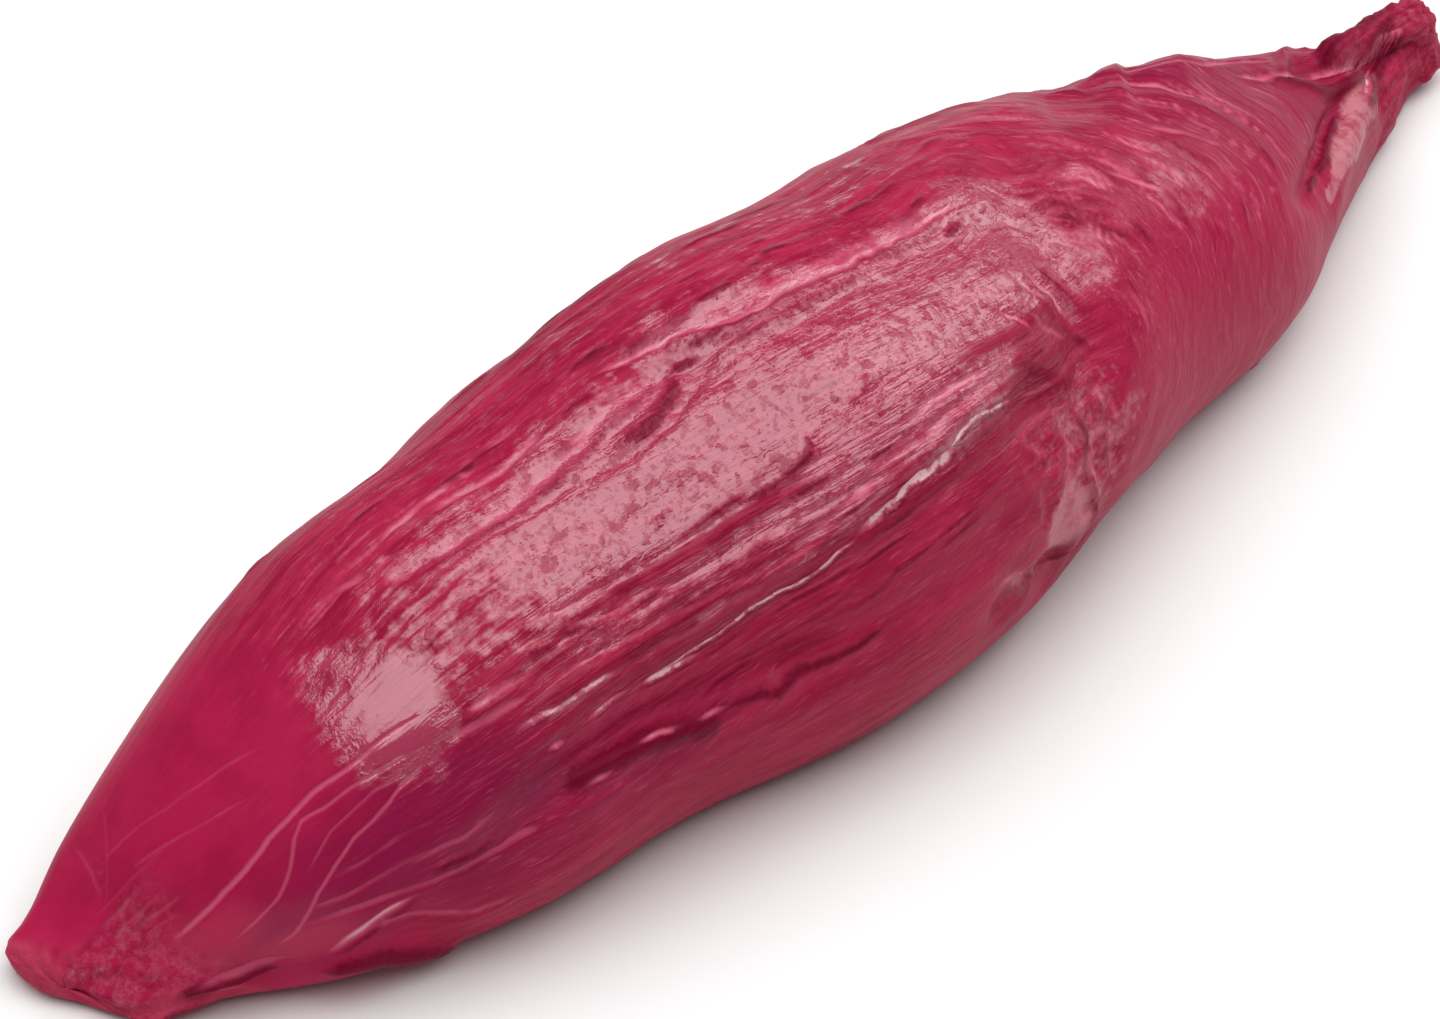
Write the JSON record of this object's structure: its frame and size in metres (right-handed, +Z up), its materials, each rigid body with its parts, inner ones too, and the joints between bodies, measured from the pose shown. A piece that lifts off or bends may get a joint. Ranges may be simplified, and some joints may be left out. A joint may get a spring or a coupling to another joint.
{
  "type": "raw beef shoulder roast",
  "caption": "Long spindle of trimmed raw meat with a blunt cut end, seams along its near side, a waist and a torn tail with a rolled flap, lying on a flattened side.",
  "frame": {"origin": "middle of the bounding box's bottom face, on the surface that the meat lies on", "axes": "+X along the muscle from the cut end to the torn tail, -Y towards the seamed side that the picture shows, +Z up"},
  "size_m": [0.336, 0.0842, 0.0709],
  "materials": {
    "beef": "wet raw beef, deep crimson with a pale film and streaks of fat, soft broad gloss"
  },
  "bodies": {
    "root": {"roast": "beef"}
  },
  "joints": []
}
